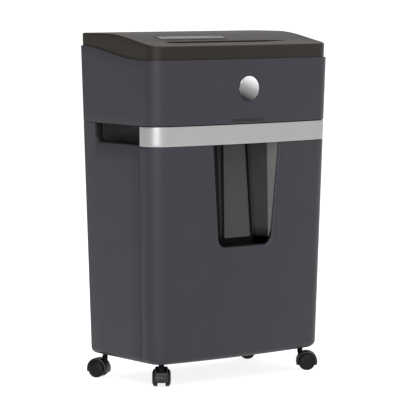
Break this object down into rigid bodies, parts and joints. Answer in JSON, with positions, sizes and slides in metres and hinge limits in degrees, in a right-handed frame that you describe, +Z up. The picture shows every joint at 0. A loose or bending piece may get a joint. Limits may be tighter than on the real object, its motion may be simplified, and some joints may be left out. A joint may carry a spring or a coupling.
{
  "type": "paper shredder",
  "caption": "Pull-out-bin paper shredder on twin-wheel castors: tapered cabinet, silver handle band, smoked window scoop, cutting head with feed slot.",
  "frame": {"origin": "on the floor under the middle of the shredder", "axes": "+Z up, -Y towards the front (the bin pulls out along -Y), +X to the right seen from the front"},
  "size_m": [0.391, 0.2245, 0.5987],
  "materials": {
    "body_plastic": "fine texture, satin",
    "cover_plastic": "satin",
    "black_plastic": "satin",
    "silver": "satin silver",
    "smoke": "glossy smoked",
    "gloss_panel": "glossy",
    "steel": "machined",
    "bronze": "sintered",
    "zinc": "zinc plated",
    "nylon": "natural",
    "lens": "clear tinted",
    "board": "solder mask",
    "rubber": "hard tread"
  },
  "bodies": {
    "root": {"badge": "silver", "cabinet": "body_plastic", "circuit_board": "board", "control_panel": "gloss_panel", "feed_throat": "black_plastic", "front_left_castor_stem": "steel", "front_right_castor_stem": "steel", "front_stripper_comb": "black_plastic", "front_tie_rod": "steel", "gear_stud": "steel", "gearbox_cover": "black_plastic", "head_base_tray": "black_plastic", "head_housing": "body_plastic", "indicator_lens": "lens", "interlock_switch": "black_plastic", "left_bearing_block": "bronze", "left_grip_insert": "black_plastic", "left_mechanism_plate": "zinc", "light_bar": "smoke", "motor": "zinc", "paper_sensor_housing": "black_plastic", "power_inlet": "black_plastic", "rear_left_castor_stem": "steel", "rear_right_castor_stem": "steel", "rear_stripper_comb": "black_plastic", "rear_tie_rod": "steel", "right_bearing_block": "bronze", "right_grip_insert": "black_plastic", "right_mechanism_plate": "zinc", "top_cover": "cover_plastic", "vent_grille": "black_plastic"},
    "bin": {"bin_bucket": "black_plastic", "bin_front_panel": "body_plastic", "handle_band": "silver", "window_scoop": "smoke"},
    "front_cutter": {"front_cutter_shaft": "steel", "front_timing_gear": "steel"},
    "rear_cutter": {"rear_cutter_shaft": "steel", "rear_timing_gear": "steel", "drive_gear": "steel"},
    "reduction_gear": {"reduction_gear": "nylon"},
    "motor_rotor": {"motor_shaft_pinion": "steel"},
    "paper_sensor_lever": {"paper_sensor_lever": "nylon"},
    "interlock_plunger": {"interlock_plunger": "nylon"},
    "reverse_button": {"reverse_button": "gloss_panel"},
    "power_button": {"power_button": "gloss_panel"},
    "forward_button": {"forward_button": "gloss_panel"},
    "mains_rocker": {"mains_rocker": "black_plastic"},
    "front_left_castor": {"front_left_castor_hood": "black_plastic"},
    "front_left_wheel_a": {"front_left_wheel_a": "rubber"},
    "front_left_wheel_b": {"front_left_wheel_b": "rubber"},
    "front_right_castor": {"front_right_castor_hood": "black_plastic"},
    "front_right_wheel_a": {"front_right_wheel_a": "rubber"},
    "front_right_wheel_b": {"front_right_wheel_b": "rubber"},
    "rear_left_castor": {"rear_left_castor_hood": "black_plastic"},
    "rear_left_wheel_a": {"rear_left_wheel_a": "rubber"},
    "rear_left_wheel_b": {"rear_left_wheel_b": "rubber"},
    "rear_right_castor": {"rear_right_castor_hood": "black_plastic"},
    "rear_right_wheel_a": {"rear_right_wheel_a": "rubber"},
    "rear_right_wheel_b": {"rear_right_wheel_b": "rubber"}
  },
  "joints": [
    {"name": "bin_slide", "type": "slide", "parent": "root", "child": "bin", "axis": [0, -1, 0], "range_m": [0, 0.26]},
    {"name": "rear_cutter_spin", "type": "hinge", "parent": "root", "child": "rear_cutter", "pos_m": [0, -0.0455, 0.495], "axis": [1, 0, 0], "continuous": true},
    {"name": "front_cutter_spin", "type": "hinge", "parent": "root", "child": "front_cutter", "pos_m": [0, -0.0725, 0.495], "axis": [1, 0, 0], "continuous": true},
    {"name": "reduction_gear_spin", "type": "hinge", "parent": "root", "child": "reduction_gear", "pos_m": [0.14, -0.01266, 0.5038], "axis": [1, 0, 0], "continuous": true},
    {"name": "motor_spin", "type": "hinge", "parent": "root", "child": "motor_rotor", "pos_m": [0.14, 0.02234, 0.5038], "axis": [1, 0, 0], "continuous": true},
    {"name": "paper_sensor_swing", "type": "hinge", "parent": "root", "child": "paper_sensor_lever", "pos_m": [0, -0.046, 0.546], "axis": [1, 0, 0], "range_deg": [0, 25], "stiffness_Nm_per_rad": 0.002},
    {"name": "interlock_press", "type": "slide", "parent": "root", "child": "interlock_plunger", "axis": [0, 0, 1], "range_m": [0, 0.003], "stiffness_N_per_m": 200},
    {"name": "mains_rocker_tilt", "type": "hinge", "parent": "root", "child": "mains_rocker", "pos_m": [-0.108, 0.1054, 0.48], "axis": [1, 0, 0], "range_deg": [-20, 0]},
    {"name": "reverse_button_press", "type": "slide", "parent": "root", "child": "reverse_button", "axis": [0, 0.1834, -0.983], "range_m": [0, 0.0008], "stiffness_N_per_m": 600},
    {"name": "power_button_press", "type": "slide", "parent": "root", "child": "power_button", "axis": [0, 0.1834, -0.983], "range_m": [0, 0.0008], "stiffness_N_per_m": 600},
    {"name": "forward_button_press", "type": "slide", "parent": "root", "child": "forward_button", "axis": [0, 0.1834, -0.983], "range_m": [0, 0.0008], "stiffness_N_per_m": 600},
    {"name": "front_left_swivel", "type": "hinge", "parent": "root", "child": "front_left_castor", "pos_m": [-0.154, -0.065, 0.03], "axis": [0, 0, 1], "continuous": true},
    {"name": "front_left_wheel_a_roll", "type": "hinge", "parent": "front_left_castor", "child": "front_left_wheel_a", "pos_m": [-0.14661, -0.05554, 0.015], "axis": [-0.788, 0.6157, 0], "continuous": true},
    {"name": "front_left_wheel_b_roll", "type": "hinge", "parent": "front_left_castor", "child": "front_left_wheel_b", "pos_m": [-0.14661, -0.05554, 0.015], "axis": [-0.788, 0.6157, 0], "continuous": true},
    {"name": "front_right_swivel", "type": "hinge", "parent": "root", "child": "front_right_castor", "pos_m": [0.154, -0.065, 0.03], "axis": [0, 0, 1], "continuous": true},
    {"name": "front_right_wheel_a_roll", "type": "hinge", "parent": "front_right_castor", "child": "front_right_wheel_a", "pos_m": [0.16346, -0.07239, 0.015], "axis": [0.6157, 0.788, 0], "continuous": true},
    {"name": "front_right_wheel_b_roll", "type": "hinge", "parent": "front_right_castor", "child": "front_right_wheel_b", "pos_m": [0.16346, -0.07239, 0.015], "axis": [0.6157, 0.788, 0], "continuous": true},
    {"name": "rear_left_swivel", "type": "hinge", "parent": "root", "child": "rear_left_castor", "pos_m": [-0.168, 0.0795, 0.03], "axis": [0, 0, 1], "continuous": true},
    {"name": "rear_left_wheel_a_roll", "type": "hinge", "parent": "rear_left_castor", "child": "rear_left_wheel_a", "pos_m": [-0.17382, 0.09, 0.015], "axis": [-0.8746, -0.4848, 0], "continuous": true},
    {"name": "rear_left_wheel_b_roll", "type": "hinge", "parent": "rear_left_castor", "child": "rear_left_wheel_b", "pos_m": [-0.17382, 0.09, 0.015], "axis": [-0.8746, -0.4848, 0], "continuous": true},
    {"name": "rear_right_swivel", "type": "hinge", "parent": "root", "child": "rear_right_castor", "pos_m": [0.168, 0.0795, 0.03], "axis": [0, 0, 1], "continuous": true},
    {"name": "rear_right_wheel_a_roll", "type": "hinge", "parent": "rear_right_castor", "child": "rear_right_wheel_a", "pos_m": [0.15951, 0.08798, 0.015], "axis": [-0.7071, -0.7071, 0], "continuous": true},
    {"name": "rear_right_wheel_b_roll", "type": "hinge", "parent": "rear_right_castor", "child": "rear_right_wheel_b", "pos_m": [0.15951, 0.08798, 0.015], "axis": [-0.7071, -0.7071, 0], "continuous": true}
  ],
  "couplings": [
    {"joint": "front_cutter_spin", "follows": "rear_cutter_spin", "ratio": -1},
    {"joint": "reduction_gear_spin", "follows": "rear_cutter_spin", "ratio": -2.4},
    {"joint": "motor_spin", "follows": "rear_cutter_spin", "ratio": 8.8}
  ]
}
